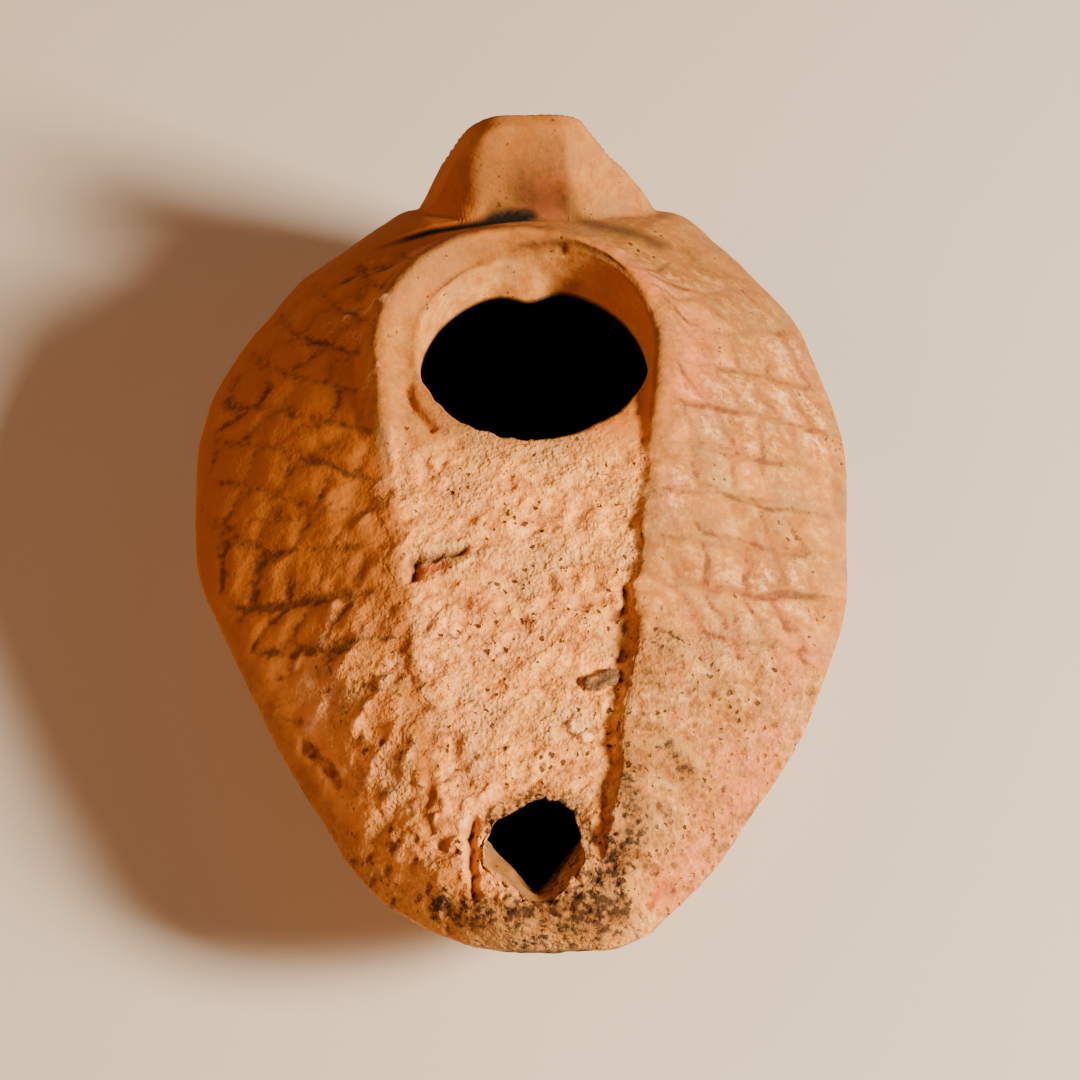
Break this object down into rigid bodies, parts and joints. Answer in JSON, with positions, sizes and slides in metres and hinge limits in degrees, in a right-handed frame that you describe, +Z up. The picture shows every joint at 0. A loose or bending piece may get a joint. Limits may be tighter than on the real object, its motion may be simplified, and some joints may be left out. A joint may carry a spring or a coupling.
{
  "type": "terracotta oil lamp",
  "caption": "Hollow mould-made clay oil lamp, pear-shaped, with a ringed filling hole, a broad channel running to the wick hole, net-patterned shoulders, a tongue handle and a flat foot",
  "frame": {"origin": "centre of the lamp's plan box, on the surface it stands on", "axes": "+Z up, +Y from the nozzle towards the handle along the lamp's length, +X to the right seen from the nozzle"},
  "size_m": [0.066, 0.0924, 0.0348],
  "materials": {
    "terracotta": "unglazed fired clay, gritty and worn, with soot at the nozzle and behind the ring"
  },
  "bodies": {
    "root": {"lamp": "terracotta"}
  },
  "joints": []
}
